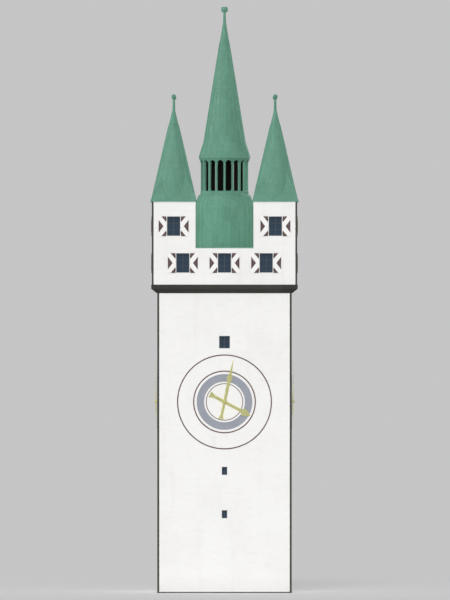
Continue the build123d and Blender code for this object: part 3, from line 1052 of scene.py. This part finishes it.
def makeTurretSeams():
    pans, course = copperPans["turret"]
    pan = 2 * pi / pans
    perSide = pans // 4
    foot = eaveLevel + seamLook["eaveEdge"]
    coneHalf = eaveHalf - seamLook["coneInset"]
    lean = (coneHalf - seamLook["turretTopRadius"]) / (turretTop - foot)
    shortRise, longRise = seamLook["turretShortRise"], seamLook["turretLongRise"]
    bm = bmesh.new()
    for i in range(perSide):  # from the middle of a side to the next one, over the broach and up the cone
        onHip = i == perSide // 2
        reach = eaveHalf / cos(min(i, perSide - i) * pan)
        start = (reach - coneHalf) / (reach / seamLook["broachHeight"] - lean)
        end = shortRise if i % 2 else longRise
        path = [(reach, foot)] + [(coneHalf - lean * rise, foot + rise) for rise in (start, end)]
        addSeam(bm, path, i * pan, seamLook["hipWidth"] if onHip else seamLook["width"])
        rise = seamLook["turretLaps"][i % 2]
        while rise < shortRise:
            addLap(bm, coneHalf - lean * rise, foot + rise, lean, i * pan, (i + 1) * pan)
            rise += course
    size = seamLook["rollRadius"]
    ends = [(eaveHalf, hand * (eaveHalf + size), eaveLevel) for hand in (-1, 1)]
    addBar(bm, *ends, (0, 0, 1), 2 * size, 2 * size)
    onEachSide(bm)
    addRoll(bm, coneHalf - lean * longRise, foot + longRise)
    bmesh.ops.translate(bm, vec=(turretOffset, -turretOffset, 0), verts=bm.verts[:])
    roundAxis(bm, len(corners))
    addPiece("turretSeams", bm, [seamCopper])


makeDrumSeams()
makeSpireSeams()
makeTurretSeams()

# terrace: seams on the deck, a capping on the wall heads, and upstands against the turrets
deckLook = {
    "seamGap": 0.48,
    "cappingHeight": 0.022,
    "cappingFallShare": 0.6,
    "cappingOver": 0.020,
    "turnDown": 0.025,
    "upstand": 0.150,
    "upstandThick": 0.012,
    "upstandEdge": 0.003,
}


def makeDeck():
    bm = bmesh.new()
    gapHalf = turretOffset - turretHalf
    count = int(gapHalf // deckLook["seamGap"])
    for i in range(-count, count + 1):
        x = i * deckLook["seamGap"]
        drumEdge = (drumRadius**2 - x**2) ** 0.5
        ends = [(x, -away, terraceLevel) for away in (deckHalf, drumEdge)]
        addBar(bm, *ends, (0, 0, 1), seamLook["width"], seamLook["height"])
    out, high = keeperFace + deckLook["cappingOver"], deckLook["cappingHeight"]
    outline = [
        (-gapHalf, -deckHalf, terraceLevel),
        (-gapHalf, -deckHalf, terraceLevel + high),
        (-gapHalf, -out, terraceLevel + high * deckLook["cappingFallShare"]),
        (-gapHalf, -out, terraceLevel - deckLook["turnDown"]),
        (-gapHalf, -keeperFace, terraceLevel - deckLook["turnDown"]),
        (-gapHalf, -keeperFace, terraceLevel),
    ]
    addPrism(bm, outline, (2 * gapHalf, 0, 0))
    tall, thick = deckLook["upstand"], deckLook["upstandThick"]
    for hand in (-1, 1):
        middle = (hand * (gapHalf - thick / 2), -(deckHalf + gapHalf) / 2, terraceLevel + tall / 2)
        made = addBlock(bm, middle, (thick, deckHalf - gapHalf, tall))
        shown = [e for e in edgesOf(made) if e.verts[0].co.z > middle[2]]
        softenEdges(bm, shown, deckLook["upstandEdge"])
    onEachSide(bm)
    addPiece("deckSeams", bm, [seamCopper])


makeDeck()

# lantern: a base and an impost on each column, and a rib behind it
columnLook = {
    "bays": 18,
    "depth": 0.120,
    "face": 0.136,
    "stand": 0.012,
    "edgeShare": 0.8,  # of the stand
    "baseHeight": 0.090,
    "impostHeight": 0.060,
    "ribDepth": 0.038,
    "ribWidth": 0.060,
    "ribOver": 0.300,
}


def makeColumns():
    bm = bmesh.new()
    stand = columnLook["stand"]
    deep, wide = columnLook["depth"] + 2 * stand, columnLook["face"] + 2 * stand
    middle = lanternRadius - columnLook["depth"] / 2
    base, impost = columnLook["baseHeight"], columnLook["impostHeight"]
    for low, tall in ((lanternLevel, base), (springLevel - impost, impost)):
        made = addBlock(bm, (middle, 0, low + tall / 2), (deep, wide, tall))
        softenEdges(bm, edgesOf(made), stand * columnLook["edgeShare"])
    ribDeep, tall = columnLook["ribDepth"], springLevel + columnLook["ribOver"] - lanternLevel
    inner = lanternRadius - columnLook["depth"] - ribDeep / 2
    addBlock(bm, (inner, 0, lanternLevel + tall / 2), (ribDeep, columnLook["ribWidth"], tall))
    turnMesh(bm, pi / columnLook["bays"])
    roundAxis(bm, columnLook["bays"])
    addPiece("columnStops", bm, [seamCopper])


makeColumns()
print("copper work done")

# windows: casement bars, sills, and linings in the reveals painted grey as shade
windowLook = {
    "wide": (0.90, 1.34, 3),  # width, height, rows of panes
    "small": (0.73, 0.86, 2),
    "slit": (0.37, 0.57, 1),
    "spacing": 2.82,
    "slitGap": 2.935,
    "setback": 0.260,
    "frame": 0.060,
    "barDeep": 0.030,
    "barGap": 0.002,
    "mullion": 0.052,
    "transom": 0.030,
    "sillHeight": 0.030,
    "sillFall": 0.018,
    "lining": 0.008,
    "liningBack": 0.004,
}
keeperGlass, turretGlass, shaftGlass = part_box("keeper_glass"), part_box("turret_glass"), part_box("shaft_glass")
keeperWindowLevel = (keeperGlass[0].z + keeperGlass[1].z) / 2
turretWindowLevel = (turretGlass[0].z + turretGlass[1].z) / 2
shaftWindowLevel = shaftGlass[1].z + windowLook["frame"] - windowLook["small"][1] / 2
lowSlitLevel = shaftGlass[0].z - windowLook["frame"] + windowLook["slit"][1] / 2
keeperOffsets = (-windowLook["spacing"], 0.0, windowLook["spacing"])
turretOffsets = (-turretOffset, turretOffset)


def addBars(bm, x, level, face, width, height, rows):
    # a mullion, and short transoms on both sides of it
    deep, mullion = windowLook["barDeep"], windowLook["mullion"]
    y = -face + windowLook["setback"] + windowLook["barGap"] + deep / 2
    inWidth, inHeight = width - 2 * windowLook["frame"], height - 2 * windowLook["frame"]
    addBlock(bm, (x, y, level), (mullion, deep, inHeight))
    run = (inWidth - mullion) / 2
    for i in range(1, rows):
        z = level - inHeight / 2 + inHeight * i / rows
        for hand in (-1, 1):
            spot = (x + hand * (run + mullion) / 2, y, z)
            addBlock(bm, spot, (run, deep, windowLook["transom"]))


def addSill(bm, x, level, face, width, height):
    # sloped from the frame down to the wall face
    left, low = x - width / 2, level - height / 2
    high, back = low + windowLook["sillHeight"], -face + windowLook["setback"]
    outline = [
        (left, -face, low),
        (left, -face, high - windowLook["sillFall"]),
        (left, back, high),
        (left, back, low),
    ]
    addPrism(bm, outline, (width, 0, 0))


def addLinings(bm, x, level, face, width, height):
    # grey lining on jambs and head: painted shade in the reveal
    thick, foot = windowLook["lining"], windowLook["sillHeight"]
    run = windowLook["setback"] - windowLook["liningBack"]
    y = -face + windowLook["liningBack"] + run / 2
    for hand in (-1, 1):
        spot = (x + hand * (width - thick) / 2, y, level + foot / 2)
        addBlock(bm, spot, (thick, run, height - foot))
    addBlock(bm, (x, y, level + (height - thick) / 2), (width - 2 * thick, run, thick))


def makeWindows():
    windows = [("wide", x, keeperWindowLevel, keeperFace) for x in keeperOffsets]
    windows += [("wide", x, turretWindowLevel, keeperFace) for x in turretOffsets]
    windows += [("small", 0.0, shaftWindowLevel, shaftFace)]
    windows += [("slit", 0.0, lowSlitLevel + rise, shaftFace) for rise in (0.0, windowLook["slitGap"])]
    bars, sills, linings = bmesh.new(), bmesh.new(), bmesh.new()
    for kind, *place in windows:
        width, height, rows = windowLook[kind]
        addBars(bars, *place, width, height, rows)
        addSill(sills, *place, width, height)
        addLinings(linings, *place, width, height)
    for part in (bars, sills, linings):
        onEachSide(part)
    addPiece("windowBars", bars, [frameBlue])
    addPiece("windowSills", sills, [sillStone])
    addPiece("revealShadeLinings", linings, [revealShadePaint])


makeWindows()

# shutters: boarded leaves hung on iron pins
leafLook = {
    "width": 0.51,
    "height": 1.34,
    "thick": 0.045,
    "gap": 0.050,
    "boards": 4,
    "groove": 0.005,
    "edge": 0.005,
    "pinRadius": 0.016,
    "pinSides": 10,
    "pinHeight": 0.150,
    "pinLevel": 0.46,
    "pinOut": 0.004,  # past the edge of the leaf
    "pinDepthShare": 0.7,
    "brownSpot": (1.0, 0.5),  # on the leaf's map
    "flatLimit": 0.5,  # a face that looks less far forward than this is an edge
}

# brown leaf with a white chevron that points at the window
shutterLook = {
    "brown": (0.088, 0.055, 0.053),
    "worn": (0.112, 0.073, 0.070),
    "white": (0.880, 0.873, 0.860),
    "outerReach": 0.63,
    "outerHalf": 0.64,
    "innerReach": 0.64,
    "innerHalf": 0.59,
    "cloudNoise": (2.0, 5.0, 0.55),
    "cloudBand": (0.35, 0.7),
    "grainStretch": (40.0, 40.0, 2.5),
    "grainNoise": (1.0, 4.0, 0.55),
    "rough": 0.60,
    "roughSpread": 0.2,
    "gloss": 0.25,
    "bump": (0.25, 0.002),
}


def shutterPaint():
    look = shutterLook
    p = newPaint("shutterPaint")
    u, v = p.axes(p.node("ShaderNodeUVMap", {"uv_map": "leaf"}))[:2]
    fromMiddle = abs(v * 2 - 1)
    outer = (1 - u) / look["outerReach"] + fromMiddle / look["outerHalf"] < 1
    inner = u / look["innerReach"] + (1 - fromMiddle) / look["innerHalf"] < 1
    cloud = p.noise(p.place(), *look["cloudNoise"])
    grain = p.noise(p.place(stretch=look["grainStretch"]), *look["grainNoise"])
    brown = p.mix(cloud.step(*look["cloudBand"]), look["brown"], look["worn"])
    return p.surface(
        {
            "Base Color": p.mix(outer | inner, look["white"], brown),
            "Roughness": look["rough"] + cloud * look["roughSpread"],
            "Specular IOR Level": look["gloss"],
            "Normal": p.bump(grain, *look["bump"]),
        }
    )


def addBoards(bm):
    # right-hand leaf: its window edge at x = 0, its back on the wall at y = 0
    thick, half = leafLook["thick"], leafLook["groove"] / 2
    step = leafLook["width"] / leafLook["boards"]
    for i in range(leafLook["boards"]):
        left = half if i > 0 else 0.0
        right = half if i < leafLook["boards"] - 1 else 0.0
        middle = ((i + 0.5) * step + (left - right) / 2, -thick / 2, 0)
        made = addBlock(bm, middle, (step - left - right, thick, leafLook["height"]))
        softenEdges(bm, edgesOf(made), leafLook["edge"])


def mapLeaf(bm):
    # the paint's pattern covers the flat of the leaf, and its edges are brown
    bm.normal_update()
    uv = bm.loops.layers.uv.new("leaf")
    for face in bm.faces:
        onEdge = abs(face.normal.y) < leafLook["flatLimit"]
        for loop in face.loops:
            spot = loop.vert.co
            board = (spot.x / leafLook["width"], spot.z / leafLook["height"] + 0.5)
            loop[uv].uv = leafLook["brownSpot"] if onEdge else board


def addPins(bm):
    depth = leafLook["thick"] * leafLook["pinDepthShare"]
    for hand in (-1, 1):
        spot = (-leafLook["pinOut"], -depth, hand * leafLook["pinLevel"])
        made = bmesh.ops.create_cone(
            bm,
            cap_ends=True,
            segments=leafLook["pinSides"],
            radius1=leafLook["pinRadius"],
            radius2=leafLook["pinRadius"],
            depth=leafLook["pinHeight"],
            matrix=Matrix.Translation(spot),
        )["verts"]
        for face in facesOf(made):
            face.material_index = 1  # iron


def makeLeaf():
    bm = bmesh.new()
    addBoards(bm)
    mapLeaf(bm)
    addPins(bm)
    leaf = bpy.data.meshes.new("leaf")
    bm.to_mesh(leaf)
    bm.free()
    return leaf


def makeShutters(name, node, boards, offsets, level):
    leaf = makeLeaf()
    away = windowLook["wide"][0] / 2 + leafLook["gap"]
    bm = bmesh.new()
    for x in offsets:
        for hand in (1, -1):
            count = len(bm.verts)
            bm.from_mesh(leaf)
            made = bm.verts[:][count:]
            spot = Matrix.Translation((x + hand * away, -keeperFace, level))
            bmesh.ops.transform(bm, matrix=spot @ Matrix.Diagonal((hand, 1, 1, 1)), verts=made)
            if hand < 0:
                bmesh.ops.reverse_faces(bm, faces=facesOf(made))
    bpy.data.meshes.remove(leaf)
    onEachSide(bm)
    piece = addPiece(name, bm, [boards, iron])
    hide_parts(node)


boards = shutterPaint()
makeShutters("keeperShutters", "keeper_shutters", boards, keeperOffsets, keeperWindowLevel)
makeShutters("turretShutters", "turret_shutters", boards, turretOffsets, turretWindowLevel)
print("windows and shutters done")
